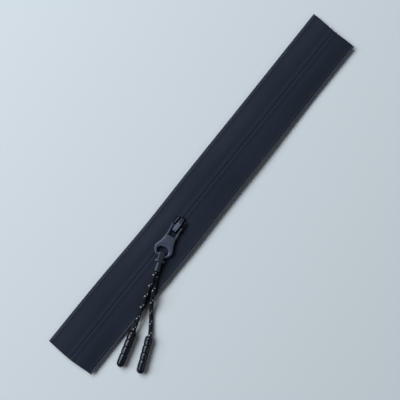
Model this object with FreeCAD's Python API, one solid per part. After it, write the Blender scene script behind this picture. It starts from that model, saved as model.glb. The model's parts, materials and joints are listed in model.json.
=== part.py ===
import FreeCAD, Part
import math
import os

# A number 5 reverse-coil zipper chain with a water-repellent film on its face, an auto-lock
# slider and a cord pull. Millimetres. +Y runs along the chain towards the slider's nose,
# +X to the wearer's right, +Z out of the face. The origin is the middle of the chain, on the
# surface that the slider's back plate lies on.

V = FreeCAD.Vector
UP = V(0, 0, 1)
LEFT = -1
RIGHT = 1
SIDES = {"left": LEFT, "right": RIGHT}

# ---- driving dimensions: the chain
CHAIN_LENGTH = 260.0
CHAIN_WIDTH = 33.0
TAPE_INNER = 1.45          # each tape's inner edge, from the middle of the chain
TAPE_BOTTOM = 3.22
TAPE_THICK = 0.56
BAND_HALF = 5.2            # the denser band that carries the chain, a little thicker
BAND_PROUD = 0.04
SELVEDGE_WIDTH = 1.2       # the thicker woven edge that the film leaves bare
SELVEDGE_PROUD = 0.06
FILM_THICK = 0.15
FILM_LIP = 0.03            # half the hairline between the two film lips
FILM_GROOVE = 0.2          # bare strip between film and selvedge
COIL_OUTER = 3.05          # the coil's outer bends, from the middle of the chain
COIL_SPINE = 0.32
COIL_REACH = 0.62          # how far a coil head passes the middle of the chain
COIL_BOTTOM = 1.05
COIL_TOP = 3.2
COIL_PITCH = 1.35
COIL_WIRE = 0.62
COIL_CHAMFER = 0.14
FILLER_X = 2.0
FILLER_RADIUS = 0.45
STITCH_X = 1.8             # the row of stitches that holds a coil to its tape
NEEDLE_WIDTH = 0.3
NEEDLE_DEEP = 0.18
LOOPER_WIDTH = 0.45
LOOPER_DEEP = 0.14
FIT = 0.05                 # clearance round a thing that lies in a channel

# ---- driving dimensions: the slider
SLIDER_Y = -27.1           # the middle of the slider on the chain
SLIDER_LENGTH = 10.4
NOSE_HALF = 4.8            # half the width at the shoulders
TAIL_HALF = 3.95
PLATE_THICK = 0.9
UPPER_BOTTOM = 4.08
UPPER_THICK = 0.97
FLANGE_TOP = 2.95
FLANGE_THICK = 0.7
WEDGE_FRONT = SLIDER_Y + 3.8
WEDGE_BACK = SLIDER_Y - 0.6
WEDGE_HALF = 1.1
RELIEF = 0.15              # room beside the wedge and the lock pin
WEDGE_ROOM = 0.2           # room before and behind the wedge
PIN_ROOM_BOTTOM = 2.5
PIN_SWING = 0.35           # room before and behind the lock pin, which swings as it lifts
UPPER_INSET = 0.1          # how much smaller the face plate is all round
PLATE_CHAMFER = 0.2
MOUTH_FIT = 0.12           # clearance of the coils in the slider's mouth
NOSE_MOUTH = 1.1           # how far behind the nose the side walls begin
RAIL_FRONT = 0.9           # both measured back from the nose
RAIL_BACK = 5.6
RAIL_INNER = 2.4
RAIL_THICK = 0.45
RAIL_HIGH = 0.55
CROWN_FRONT = SLIDER_Y + 5.0
CROWN_BACK = SLIDER_Y - 4.7
CROWN_HALF = 1.3
CROWN_TOP = 8.9
CROWN_ROOF = 0.55
CROWN_FOOT = 0.9
CROWN_HAUNCH = 0.5         # how much thicker the front foot is
CROWN_CHAMFER = 0.3

# ---- driving dimensions: the lock
LOCK_HALF = 0.4
LOCK_PIVOT_Y = SLIDER_Y + 2.9
LOCK_PIVOT_Z = 5.55
LOCK_KNUCKLE = 0.46        # radius of the lever's round end, which turns on the face plate
LOCK_TOP = 7.5
LOCK_THICK = 0.55
PIN_Y = SLIDER_Y - 3.15
PIN_THICK = 0.5
PIN_TIP = 2.75
SPRING_THICK = 0.14
SPRING_HALF = 0.55

# ---- driving dimensions: the puller
PULLER_X = 0.1
PULLER_Y = SLIDER_Y - 1.5
PULLER_Z = 6.3
PULLER_YAW = 8.5           # degrees that the loose pintle lets it lie askew
PINTLE_RADIUS = 0.6
EAR_RADIUS = 1.1
EAR_HALF = 3.7
WINDOW_HALF = 2.3
WINDOW_END = 7.0
ARM_HALF = 3.4
ARM_THICK = 1.6
PLATE_HALF_THICK = 1.1
CROWN_OF_PLATE = 16.0      # radius of the plate's rounded back and face
EYE_TOP = 14.1
EYE_HALF = 4.0
EYE_WIDEST = 17.0
BAR_U = 19.6
BAR_RADIUS = 1.0
BAR_HALF = 2.45
PULLER_END = 20.7

# ---- driving dimensions: the cord pull
CONNECTOR_YAW = 22.0
LOOP_ASIDE = 0.6           # how far along the bar, to the right, the loop has slid
LOOP_REACH = 2.4           # how far the loop's tongue reaches past the bar, into the eye
LOOP_TIP_HALF_WIDE = 1.2
LOOP_SHOULDER = 1.5        # where the tongue reaches nearly its full width, before the bar
LOOP_SHOULDER_HALF_WIDE = 1.7
LOOP_ROOT_HALF_WIDE = 1.5
LOOP_HALF_TALL = 1.97
LOOP_HOLE_HALF_LONG = 1.65
LOOP_HOLE_HALF_TALL = 1.08
COLLAR_HALF_TALL = 2.1
COLLAR_START = 2.7
COLLAR_END = 4.4
COLLAR_HALF_WIDE = 3.5
NECK_END = 9.8
NECK_HALF_WIDE = 1.95
NECK_HALF_TALL = 2.4
NECK_RISE = 0.28
CORD_DIAMETER = 2.6
GRIP_LENGTH = 23.5
GRIP_RADIUS = 2.65

# The two tails' routes, from the neck to their grips. Each lies on the face, goes over the
# tape's edge and comes down to the surface beside the chain.
CORD_ROUTES = {
    "left": [
        V(6.72, -57.17, 7.78),
        V(8.35, -61.70, 7.66),
        V(9.65, -65.85, 6.70),
        V(11.65, -72.55, 5.50),
        V(13.90, -79.30, 5.46),
        V(16.30, -86.00, 5.62),
        V(19.50, -94.30, 3.45),
    ],
    "right": [
        V(7.84, -56.73, 5.38),
        V(9.75, -60.40, 5.34),
        V(11.70, -64.40, 5.34),
        V(13.95, -68.60, 5.48),
        V(16.55, -72.95, 5.82),
        V(19.90, -77.95, 2.50),
        V(24.25, -83.20, 1.35),
        V(29.40, -90.70, 2.80),
    ],
}
GRIP_TIPS = {"left": V(26.45, -116.75, 2.70), "right": V(38.75, -112.25, 2.70)}

FILM_BOTTOM = TAPE_BOTTOM + TAPE_THICK
FILM_TOP = FILM_BOTTOM + FILM_THICK
UPPER_TOP = UPPER_BOTTOM + UPPER_THICK
SLIDER_NOSE = SLIDER_Y + SLIDER_LENGTH / 2
SLIDER_TAIL = SLIDER_Y - SLIDER_LENGTH / 2
HALF_LENGTH = CHAIN_LENGTH / 2
HALF_WIDTH = CHAIN_WIDTH / 2


# ---- helpers
def box(x_span, y_span, z_span):
    """A box between two values on each axis, in either order."""
    low = [min(span) for span in (x_span, y_span, z_span)]
    size = [abs(span[1] - span[0]) for span in (x_span, y_span, z_span)]
    return Part.makeBox(size[0], size[1], size[2], V(low[0], low[1], low[2]))


def prism(outline, travel):
    """A flat closed outline of points, pushed along a vector."""
    wire = Part.makePolygon(outline + [outline[0]])
    return Part.Face(wire).extrude(travel)


def along_chain(section):
    """A section of (x, z) points that runs the whole length of the chain."""
    outline = [V(x, -HALF_LENGTH, z) for x, z in section]
    return prism(outline, V(0, CHAIN_LENGTH, 0))


def across(side_view, half_width):
    """A side view of (y, z) points, pushed out equally to the left and right."""
    outline = [V(-half_width, y, z) for y, z in side_view]
    return prism(outline, V(2 * half_width, 0, 0))


def mirrored_outline(right_half):
    """The right half of a plan view, closed by its mirror image."""
    return right_half + [V(-p.x, p.y, p.z) for p in reversed(right_half)]


def save(name, shape):
    """Write one node, and say what it is."""
    shape = shape.removeSplitter()
    solids = shape.Solids
    shape.exportStep(os.path.join("parts", name + ".step"))
    box_of = shape.BoundBox
    print(
        f"{name}: {len(solids)} solid, {shape.Volume:.1f} mm3, valid {shape.isValid()},"
        f" z {box_of.ZMin:.2f} to {box_of.ZMax:.2f}"
    )
    return shape


# ---- the chain
def relief():
    """The room that the parted chain leaves round the slider's wedge and lock pin."""
    wide = WEDGE_HALF + RELIEF
    wedge = box((-wide, wide), (WEDGE_FRONT + WEDGE_ROOM, WEDGE_BACK - WEDGE_ROOM), (0, UPPER_BOTTOM))
    pin_wide = LOCK_HALF + RELIEF
    pin_long = PIN_THICK / 2 + PIN_SWING
    pin_heights = (PIN_ROOM_BOTTOM, UPPER_BOTTOM)
    pin = box((-pin_wide, pin_wide), (PIN_Y - pin_long, PIN_Y + pin_long), pin_heights)
    return [wedge, pin]


def tape(side):
    """A woven tape with a thicker selvedge, and a groove where its stitches lie."""
    top = FILM_BOTTOM
    low = TAPE_BOTTOM + BAND_PROUD
    edge = HALF_WIDTH
    selvedge = edge - SELVEDGE_WIDTH
    groove_in = STITCH_X - NEEDLE_WIDTH / 2
    groove_out = STITCH_X + NEEDLE_WIDTH / 2
    section = [
        (TAPE_INNER, TAPE_BOTTOM),
        (BAND_HALF - BAND_PROUD, TAPE_BOTTOM),
        (BAND_HALF, low),
        (selvedge, low),
        (selvedge + SELVEDGE_PROUD, low - SELVEDGE_PROUD),
        (edge - SELVEDGE_PROUD, low - SELVEDGE_PROUD),
        (edge, low),
        (edge, top),
        (edge - SELVEDGE_PROUD, top + SELVEDGE_PROUD),
        (selvedge + SELVEDGE_PROUD, top + SELVEDGE_PROUD),
        (selvedge, top),
        (groove_out, top),
        (groove_out, top - NEEDLE_DEEP),
        (groove_in, top - NEEDLE_DEEP),
        (groove_in, top),
        (TAPE_INNER, top),
    ]
    return along_chain([(side * x, z) for x, z in section])


def film(side):
    """The smooth film that is bonded to the tape's face and meets the other at the seam."""
    outer = HALF_WIDTH - SELVEDGE_WIDTH - FILM_GROOVE
    sheet = box(
        (side * FILM_LIP, side * outer),
        (-HALF_LENGTH, HALF_LENGTH),
        (FILM_BOTTOM, FILM_TOP),
    )
    return sheet.cut(relief())


def coil(side):
    """A monofilament coil as a comb: a row of flattened loops on their outer bends."""
    teeth = int(CHAIN_LENGTH / COIL_PITCH) - 1
    stagger = COIL_PITCH / 2 if side == RIGHT else 0.0
    first = -teeth * COIL_PITCH / 2 - COIL_PITCH / 4 + stagger
    spine_in = COIL_OUTER - COIL_SPINE
    outline = [V(side * COIL_OUTER, -HALF_LENGTH, COIL_BOTTOM)]
    outline.append(V(side * spine_in, -HALF_LENGTH, COIL_BOTTOM))
    for number in range(teeth):
        low = first + number * COIL_PITCH - COIL_WIRE / 2
        high = low + COIL_WIRE
        tip = -side * COIL_REACH
        shoulder = -side * (COIL_REACH - COIL_CHAMFER)
        outline += [
            V(side * spine_in, low, COIL_BOTTOM),
            V(shoulder, low, COIL_BOTTOM),
            V(tip, low + COIL_CHAMFER, COIL_BOTTOM),
            V(tip, high - COIL_CHAMFER, COIL_BOTTOM),
            V(shoulder, high, COIL_BOTTOM),
            V(side * spine_in, high, COIL_BOTTOM),
        ]
    outline.append(V(side * spine_in, HALF_LENGTH, COIL_BOTTOM))
    outline.append(V(side * COIL_OUTER, HALF_LENGTH, COIL_BOTTOM))
    comb = prism(outline, V(0, 0, COIL_TOP - COIL_BOTTOM))
    return comb.cut([filler_room(side), looper_room(side)] + relief())


def filler_room(side):
    """The space inside the coil's loops that its filler cord runs through."""
    middle = (COIL_BOTTOM + COIL_TOP) / 2
    start = V(side * FILLER_X, -HALF_LENGTH - 1, middle)
    return Part.makeCylinder(FILLER_RADIUS + FIT, CHAIN_LENGTH + 2, start, V(0, 1, 0))


def filler_cord(side):
    """The cord inside the coil, which the stitches pass through."""
    middle = (COIL_BOTTOM + COIL_TOP) / 2
    start = V(side * FILLER_X, -HALF_LENGTH, middle)
    return Part.makeCylinder(FILLER_RADIUS, CHAIN_LENGTH, start, V(0, 1, 0))


def looper_room(side):
    """The furrow that the looper thread pulls into the back of the coil."""
    half = LOOPER_WIDTH / 2 + FIT
    x_span = (side * STITCH_X - half, side * STITCH_X + half)
    return box(x_span, (-HALF_LENGTH - 1, HALF_LENGTH + 1), (0, COIL_BOTTOM + LOOPER_DEEP + FIT / 2))


def looper_thread(side):
    """The chain of loops on the back of the coil."""
    half = LOOPER_WIDTH / 2
    x_span = (side * STITCH_X - half, side * STITCH_X + half)
    z_span = (COIL_BOTTOM, COIL_BOTTOM + LOOPER_DEEP)
    return box(x_span, (-HALF_LENGTH, HALF_LENGTH), z_span)


def needle_thread(side):
    """The straight row of stitches on the tape's face, under the film."""
    half = NEEDLE_WIDTH / 2
    x_span = (side * STITCH_X - half, side * STITCH_X + half)
    z_span = (FILM_BOTTOM - NEEDLE_DEEP, FILM_BOTTOM)
    return box(x_span, (-HALF_LENGTH, HALF_LENGTH), z_span)


# ---- the slider
def plate_outline(grow, z):
    """Plan view of both plates: two shoulders at the nose, narrower at the tail."""
    nose = SLIDER_NOSE + grow
    tail = SLIDER_TAIL - grow
    half = NOSE_HALF + grow
    right_half = [
        V(0.9, nose, z),
        V(half - 1.5, nose - 0.45, z),
        V(half - 0.45, nose - 1.2, z),
        V(half, nose - 2.4, z),
        V(half - 0.2, nose - 4.2, z),
        V(TAIL_HALF + grow, nose - 6.4, z),
        V(TAIL_HALF + grow, tail + 0.8, z),
        V(TAIL_HALF + grow - 0.8, tail, z),
    ]
    return mirrored_outline(right_half)


def wedge():
    """The post between the plates that parts the two coils, pointed at both ends."""
    front = V(0, WEDGE_FRONT, 0)
    back = V(0, WEDGE_BACK, 0)
    middle_y = (WEDGE_FRONT + WEDGE_BACK) / 2
    flanks = [Part.Arc(front, V(s * WEDGE_HALF, middle_y, 0), back).toShape() for s in (1, -1)]
    lens = Part.Face(Part.Wire(flanks))
    lens.translate(V(0, 0, PLATE_THICK))
    return lens.extrude(V(0, 0, UPPER_BOTTOM - PLATE_THICK))


def flanges():
    """The lower plate's side walls, which the outer bends of the coils run along."""
    wall = prism(plate_outline(0, PLATE_THICK), V(0, 0, FLANGE_TOP - PLATE_THICK))
    inside = prism(plate_outline(-FLANGE_THICK, 0), V(0, 0, FLANGE_TOP + 1))
    half = COIL_OUTER + MOUTH_FIT
    mouth = box((-half, half), (SLIDER_NOSE + 1, SLIDER_TAIL - 1), (0, FLANGE_TOP + 1))
    wide = NOSE_HALF + 1
    ends = box((-wide, wide), (SLIDER_NOSE - NOSE_MOUTH, SLIDER_NOSE + 1), (0, FLANGE_TOP + 1))
    return wall.cut([inside, mouth, ends])


def slider_body():
    """One casting: back plate, flanges, wedge and face plate with two low rails."""
    lower = prism(plate_outline(0, 0), V(0, 0, PLATE_THICK))
    upper = prism(plate_outline(-UPPER_INSET, UPPER_BOTTOM), V(0, 0, UPPER_THICK))
    body = lower.fuse([flanges(), wedge(), upper])
    body = body.removeSplitter()
    rim = [e for e in body.Edges if abs(e.BoundBox.ZMin - UPPER_TOP) < 1e-6]
    rim += [e for e in body.Edges if e.BoundBox.ZMax < 1e-6]
    body = body.makeChamfer(PLATE_CHAMFER, rim)
    rails = [
        box(
            (side * RAIL_INNER, side * (RAIL_INNER + RAIL_THICK)),
            (SLIDER_NOSE - RAIL_FRONT, SLIDER_NOSE - RAIL_BACK),
            (UPPER_TOP - 0.01, UPPER_TOP + RAIL_HIGH),
        )
        for side in (LEFT, RIGHT)
    ]
    slot_half = PIN_THICK / 2 + PIN_SWING
    slot_wide = LOCK_HALF + RELIEF
    slot = box(
        (-slot_wide, slot_wide),
        (PIN_Y - slot_half, PIN_Y + slot_half),
        (UPPER_BOTTOM - 1, UPPER_TOP + 1),
    )
    return body.fuse(rails).cut(slot)


def slider_crown():
    """The bail over the pintle: two feet on the face plate, joined by a rounded roof."""
    inner_top = CROWN_TOP - CROWN_ROOF
    outside = [
        (CROWN_FRONT, UPPER_TOP),
        (CROWN_FRONT, UPPER_TOP + 0.5),
        (CROWN_FRONT - 1.2, CROWN_TOP - 1.9),
        (CROWN_FRONT - 2.6, CROWN_TOP - 0.6),
        (CROWN_FRONT - 4.3, CROWN_TOP),
        (CROWN_BACK + 1.0, CROWN_TOP),
        (CROWN_BACK + 0.25, CROWN_TOP - 0.45),
        (CROWN_BACK, CROWN_TOP - 1.2),
        (CROWN_BACK, UPPER_TOP),
    ]
    inside = [
        (CROWN_FRONT - CROWN_FOOT - CROWN_HAUNCH, UPPER_TOP - 1),
        (CROWN_FRONT - CROWN_FOOT - CROWN_HAUNCH, inner_top - 1.85),
        (CROWN_FRONT - 2.9, inner_top - 0.5),
        (CROWN_FRONT - 4.4, inner_top),
        (CROWN_BACK + CROWN_FOOT, inner_top),
        (CROWN_BACK + CROWN_FOOT, UPPER_TOP - 1),
    ]
    arch = across(outside, CROWN_HALF)
    roof = [e for e in arch.Edges if e.BoundBox.ZMin > CROWN_TOP - 1.3 and e.BoundBox.XLength < 0.01]
    arch = arch.makeChamfer(CROWN_CHAMFER, roof)
    return arch.cut(across(inside, CROWN_HALF + 1))


def lock_pin():
    """The lever over the pintle. Its back end turns down through the face plate as a pin."""
    back = PIN_Y - PIN_THICK / 2
    front = PIN_Y + PIN_THICK / 2
    under = LOCK_TOP - LOCK_THICK
    side_view = [
        (LOCK_PIVOT_Y, LOCK_PIVOT_Z + LOCK_KNUCKLE),
        (LOCK_PIVOT_Y - 1.4, LOCK_TOP),
        (back, LOCK_TOP),
        (back, PIN_TIP + 0.3),
        (PIN_Y, PIN_TIP),
        (front, PIN_TIP + 0.3),
        (front, under),
        (LOCK_PIVOT_Y - 1.6, under),
        (LOCK_PIVOT_Y - 0.3, LOCK_PIVOT_Z),
        (LOCK_PIVOT_Y, LOCK_PIVOT_Z),
    ]
    lever = across(side_view, LOCK_HALF)
    end = V(-LOCK_HALF, LOCK_PIVOT_Y, LOCK_PIVOT_Z)
    return lever.fuse(Part.makeCylinder(LOCK_KNUCKLE, 2 * LOCK_HALF, end, V(1, 0, 0)))


def lock_spring():
    """The leaf under the roof that presses the lever down."""
    start_y = CROWN_FRONT - 4.7
    start_z = CROWN_TOP - CROWN_ROOF - SPRING_THICK
    end_y = PIN_Y + 0.2
    end_z = LOCK_TOP + 0.02
    knee = (start_y - 0.9, start_z)
    side_view = [
        (start_y, start_z),
        knee,
        (end_y, end_z),
        (end_y, end_z + SPRING_THICK),
        (knee[0], knee[1] + SPRING_THICK),
        (start_y, start_z + SPRING_THICK),
    ]
    return across(side_view, SPRING_HALF)


# ---- the puller, drawn lying along +X from its pintle and then laid on the slider
def lay_from_pintle(shape):
    """Turn a shape from the +X of its drawing to the way the puller lies."""
    shape.rotate(V(0, 0, 0), UP, PULLER_YAW - 90)
    shape.translate(V(PULLER_X, PULLER_Y, PULLER_Z))
    return shape


def half_curve(points, side):
    """A smooth edge through (u, half width) points, on one side of the puller."""
    curve = Part.BSplineCurve()
    curve.interpolate([V(u, side * wide, 0) for u, wide in points])
    return curve.toShape()


def puller_blade():
    """The plate: broad shoulders that narrow again round the eye, rounded front and back."""
    flank = [
        (WINDOW_END - 0.6, ARM_HALF),
        (8.2, 3.62),
        (11.1, 4.3),
        (13.4, 5.25),
        (15.4, 5.82),
        (17.2, 5.5),
        (19.0, 4.45),
        (PULLER_END, 3.0),
    ]
    edges = [half_curve(flank, LEFT), half_curve(flank, RIGHT)]
    for u, wide in (flank[0], flank[-1]):
        edges.append(Part.makeLine(V(u, wide, 0), V(u, -wide, 0)))
    face = Part.Face(Part.Wire(Part.__sortEdges__(edges)))
    blade = face.extrude(V(0, 0, 2 * PLATE_HALF_THICK))
    blade.translate(V(0, 0, -PLATE_HALF_THICK))
    for sign in (1, -1):
        centre_z = sign * (PLATE_HALF_THICK - CROWN_OF_PLATE)
        dome = Part.makeCylinder(CROWN_OF_PLATE, 40, V(-5, 0, centre_z), V(1, 0, 0))
        blade = blade.common(dome)
    return blade


def puller_eye():
    """The arched opening above the bar that the cord pull's loop goes round."""
    low = BAR_U
    points = [
        (low, BAR_HALF),
        (18.4, 3.25),
        (EYE_WIDEST, EYE_HALF - 0.15),
        (15.6, 3.4),
        (14.5, 1.9),
        (EYE_TOP, 0),
    ]
    both = points + [(u, -wide) for u, wide in reversed(points[:-1])]
    curve = Part.BSplineCurve()
    curve.interpolate([V(u, wide, 0) for u, wide in both])
    base = Part.makeLine(V(low, -BAR_HALF, 0), V(low, BAR_HALF, 0))
    face = Part.Face(Part.Wire([curve.toShape(), base]))
    eye = face.extrude(V(0, 0, 6))
    eye.translate(V(0, 0, -3))
    notch = box((BAR_U - 1.3, PULLER_END + 2), (-BAR_HALF, BAR_HALF), (-3, 3))
    return eye.fuse(notch)


def puller():
    """Pintle, two ears, two arms and the plate with its eye, as one casting."""
    pintle = Part.makeCylinder(PINTLE_RADIUS, 2 * EAR_HALF, V(0, -EAR_HALF, 0), V(0, 1, 0))
    pieces = [pintle]
    half = ARM_THICK / 2
    for side in (LEFT, RIGHT):
        wide = EAR_HALF - WINDOW_HALF
        start = V(0, WINDOW_HALF if side == RIGHT else -EAR_HALF, 0)
        pieces.append(Part.makeCylinder(EAR_RADIUS, wide, start, V(0, 1, 0)))
        pieces.append(box((0, WINDOW_END), (side * WINDOW_HALF, side * ARM_HALF), (-half, half)))
    blade = puller_blade()
    window = box((-5, WINDOW_END), (-WINDOW_HALF, WINDOW_HALF), (-3, 3))
    blade = blade.cut([window, puller_eye()])
    bar = Part.makeCylinder(BAR_RADIUS, 2 * BAR_HALF + 0.6, V(BAR_U, -BAR_HALF - 0.3, 0), V(0, 1, 0))
    return lay_from_pintle(blade.fuse(pieces + [bar]))


# ---- the cord pull
def loop_centre():
    """The place on the puller's bar that the loop hangs from."""
    yaw = math.radians(PULLER_YAW)
    middle = V(PULLER_X + BAR_U * math.sin(yaw), PULLER_Y - BAR_U * math.cos(yaw), PULLER_Z)
    return middle + V(math.cos(yaw), math.sin(yaw), 0) * LOOP_ASIDE


def oval(s, half_wide, half_tall, z):
    """An upright oval wire across the cord pull, s from the bar."""
    centre = V(s, 0, z)
    sides = V(s, half_wide, z)
    top = V(s, 0, z + half_tall)
    ends = (sides, top) if half_wide > half_tall else (top, sides)
    return Part.Wire(Part.Ellipse(ends[0], ends[1], centre).toShape())


def cord_connector():
    """A moulded loop round the puller's bar, with a collar and the neck the cord comes from."""
    tall = COLLAR_HALF_TALL
    root = COLLAR_START + 0.2
    side_view = Part.Ellipse(V(LOOP_REACH, -5, 0), V(0, -5, LOOP_HALF_TALL), V(0, -5, 0))
    tongue = Part.Face(Part.Wire(side_view.toShape())).extrude(V(0, 10, 0))
    shank = box((0, root), (-5, 5), (-LOOP_HALF_TALL, LOOP_HALF_TALL))
    half_plan = [
        (-LOOP_REACH, LOOP_TIP_HALF_WIDE),
        (-LOOP_SHOULDER, LOOP_SHOULDER_HALF_WIDE),
        (root, LOOP_ROOT_HALF_WIDE),
    ]
    plan = [V(s, -wide, -5) for s, wide in half_plan]
    plan += [V(s, wide, -5) for s, wide in reversed(half_plan)]
    loop = tongue.fuse(shank).common(prism(plan, V(0, 0, 10)))
    hole = box(
        (-LOOP_HOLE_HALF_LONG, LOOP_HOLE_HALF_LONG),
        (-5, 5),
        (-LOOP_HOLE_HALF_TALL, LOOP_HOLE_HALF_TALL),
    )
    collar_wires = [
        oval(COLLAR_START, COLLAR_HALF_WIDE - 0.3, tall - 0.2, 0),
        oval((COLLAR_START + COLLAR_END) / 2, COLLAR_HALF_WIDE, tall + 0.02, 0),
        oval(COLLAR_END, COLLAR_HALF_WIDE - 0.4, tall - 0.25, 0),
    ]
    collar = Part.makeLoft(collar_wires, True, True)
    neck_wires = [
        oval(COLLAR_END - 0.3, NECK_HALF_WIDE, tall - 0.1, 0),
        oval(NECK_END, NECK_HALF_WIDE, NECK_HALF_TALL, NECK_RISE),
    ]
    neck = Part.makeLoft(neck_wires, True, True)
    shape = loop.cut(hole).fuse([collar, neck])
    shape.rotate(V(0, 0, 0), UP, CONNECTOR_YAW - 90)
    shape.translate(loop_centre())
    return shape


def tube(name, points, diameter):
    """A round cord: straight runs joined by arcs that touch them, as large as they allow."""
    edges = []
    start = points[0]
    radii = []
    length = 0.0
    for before, corner, after in zip(points, points[1:], points[2:]):
        into = (corner - before).normalize()
        out = (after - corner).normalize()
        turn = into.getAngle(out)
        reach = 0.45 * min(before.distanceToPoint(corner), corner.distanceToPoint(after))
        radius = reach / math.tan(turn / 2)
        radii.append(radius)
        arc_start = corner - into * reach
        arc_end = corner + out * reach
        inward = (out - into).normalize()
        sagitta = radius * (1 / math.cos(turn / 2) - 1)
        edges.append(Part.LineSegment(start, arc_start).toShape())
        edges.append(Part.Arc(arc_start, corner + inward * sagitta, arc_end).toShape())
        length += start.distanceToPoint(arc_start) + radius * turn
        start = arc_end
    edges.append(Part.LineSegment(start, points[-1]).toShape())
    length += start.distanceToPoint(points[-1])
    path = Part.Wire(edges)
    heading = (points[1] - points[0]).normalize()
    ring = Part.Wire(Part.makeCircle(diameter / 2, points[0], heading))
    solid = path.makePipeShell([ring], True, True)
    section = math.pi * diameter * diameter / 4
    print(
        f"{name}: length {length:.2f} mm, volume over section x length"
        f" {solid.Volume / (section * length):.4f}, radii {[round(r, 1) for r in radii]}"
    )
    return solid


def grip(start, tip):
    """A moulded grip: a chamfered mouth for the cord, three grooves and a rounded nose."""
    mouth = 1.9
    groove_half = 0.55
    groove_deep = 0.25
    flat = 0.7
    round_over = GRIP_RADIUS - flat
    nose = GRIP_LENGTH - round_over
    profile = [V(0, 0, 0), V(0, mouth, 0), V(1.1, GRIP_RADIUS, 0)]
    for s in (5.9, 10.5, 15.1):
        profile += [
            V(s - groove_half, GRIP_RADIUS, 0),
            V(s, GRIP_RADIUS - groove_deep, 0),
            V(s + groove_half, GRIP_RADIUS, 0),
        ]
    profile.append(V(nose, GRIP_RADIUS, 0))
    edges = [Part.makeLine(a, b) for a, b in zip(profile, profile[1:])]
    middle = round_over * math.sqrt(0.5)
    shoulder = V(nose + middle, flat + middle, 0)
    rim = V(GRIP_LENGTH, flat, 0)
    end = V(GRIP_LENGTH, 0, 0)
    edges.append(Part.Arc(profile[-1], shoulder, rim).toShape())
    edges.append(Part.makeLine(rim, end))
    edges.append(Part.makeLine(end, profile[0]))
    half_section = Part.Face(Part.Wire(edges))
    solid = half_section.revolve(V(0, 0, 0), V(1, 0, 0), 360)
    heading = tip - start
    turn = FreeCAD.Rotation(V(1, 0, 0), heading)
    solid.Placement = FreeCAD.Placement(start, turn)
    return solid


# ---- build every node
def main():
    os.makedirs("parts", exist_ok=True)
    for name, side in SIDES.items():
        save("tape_" + name, tape(side))
        save("film_" + name, film(side))
        save("coil_" + name, coil(side))
        save("filler_cord_" + name, filler_cord(side))
        save("needle_thread_" + name, needle_thread(side))
        save("looper_thread_" + name, looper_thread(side))
    save("slider_body", slider_body())
    save("slider_crown", slider_crown())
    save("lock_pin", lock_pin())
    save("lock_spring", lock_spring())
    save("puller", puller())
    connector = save("cord_connector", cord_connector())
    for name in SIDES:
        route = CORD_ROUTES[name]
        end = save("grip_" + name, grip(route[-1], GRIP_TIPS[name]))
        tail = tube("cord_" + name, route, CORD_DIAMETER)
        save("cord_" + name, tail.cut([connector, end]))


main()
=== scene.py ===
import json
import math

import bmesh
import bpy
import numpy as np
from mathutils import Matrix, Vector


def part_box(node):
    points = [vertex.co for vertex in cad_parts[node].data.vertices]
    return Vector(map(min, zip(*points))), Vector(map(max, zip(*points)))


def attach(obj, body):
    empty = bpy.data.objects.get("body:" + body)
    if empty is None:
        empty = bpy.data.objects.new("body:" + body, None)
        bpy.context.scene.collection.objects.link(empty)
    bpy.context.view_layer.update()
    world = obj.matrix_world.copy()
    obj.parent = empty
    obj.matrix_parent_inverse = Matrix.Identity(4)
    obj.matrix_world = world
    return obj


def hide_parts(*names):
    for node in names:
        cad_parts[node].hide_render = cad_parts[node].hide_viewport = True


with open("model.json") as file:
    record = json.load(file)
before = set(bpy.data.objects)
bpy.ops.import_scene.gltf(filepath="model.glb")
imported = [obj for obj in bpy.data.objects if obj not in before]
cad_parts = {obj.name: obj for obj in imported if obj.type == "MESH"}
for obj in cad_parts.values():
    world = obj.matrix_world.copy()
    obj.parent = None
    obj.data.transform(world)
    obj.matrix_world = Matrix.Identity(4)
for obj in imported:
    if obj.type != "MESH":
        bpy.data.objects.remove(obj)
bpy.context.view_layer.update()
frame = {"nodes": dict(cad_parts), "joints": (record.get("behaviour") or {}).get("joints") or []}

# A number 5 water-repellent coil zipper with a cord pull, in metres, in the row's frame:
# +Y along the chain towards the slider's nose, +Z out of the film-faced side.

MM = 0.001
TAU = 2 * math.pi
SIDES = {"left": -1, "right": 1}
WHITE = (1, 1, 1)
UP = Vector((0, 0, 1))

# ---- sizes, from the frame where it has them
TAPE_LOW, TAPE_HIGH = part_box("tape_right")
FILM_LOW, FILM_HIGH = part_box("film_right")
COIL_LOW, COIL_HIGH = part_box("coil_right")
FILLER_LOW, FILLER_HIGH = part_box("filler_cord_right")
SLIDER_LOW, SLIDER_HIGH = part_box("slider_body")
CROWN_LOW, CROWN_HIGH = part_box("slider_crown")
HALF_LENGTH = TAPE_HIGH[1]
HALF_WIDTH = TAPE_HIGH[0]
FILM_TOP = FILM_HIGH[2]
FILM_EDGE = FILM_HIGH[0]
TAPE_TOP = FILM_LOW[2]
TAPE_UNDER = 3.26 * MM
BAND_HALF = 5.2 * MM       # the denser band that the coil is sewn to
BAND_UNDER = 3.22 * MM
SELVEDGE = 15.3 * MM
COIL_PITCH = 1.35 * MM
COIL_WIRE = 0.3 * MM       # the wire's radius
COIL_REACH = 0.62 * MM     # how far each tooth's head reaches past the middle
STITCH_X = 1.8 * MM
STITCH_PITCH = 1.8 * MM
JOINTS = {joint["name"]: joint for joint in frame["joints"]}
PINTLE = Vector(JOINTS["puller_pivot"]["pos_m"])
BAR = Vector(JOINTS["cord_pull_swing"]["pos_m"])
PULLER_WAY = (BAR - PINTLE).normalized()
PULLER_SIDE = Vector((-PULLER_WAY.y, PULLER_WAY.x, 0))
CONNECTOR_YAW = math.radians(22)
CONNECTOR_WAY = Vector((math.sin(CONNECTOR_YAW), -math.cos(CONNECTOR_YAW), 0))
CONNECTOR_SIDE = Vector((math.cos(CONNECTOR_YAW), math.sin(CONNECTOR_YAW), 0))
LOOP_ASIDE = 0.6 * MM      # the loop sits this far off the middle of the bar
LOOP = BAR + PULLER_SIDE * LOOP_ASIDE

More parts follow.
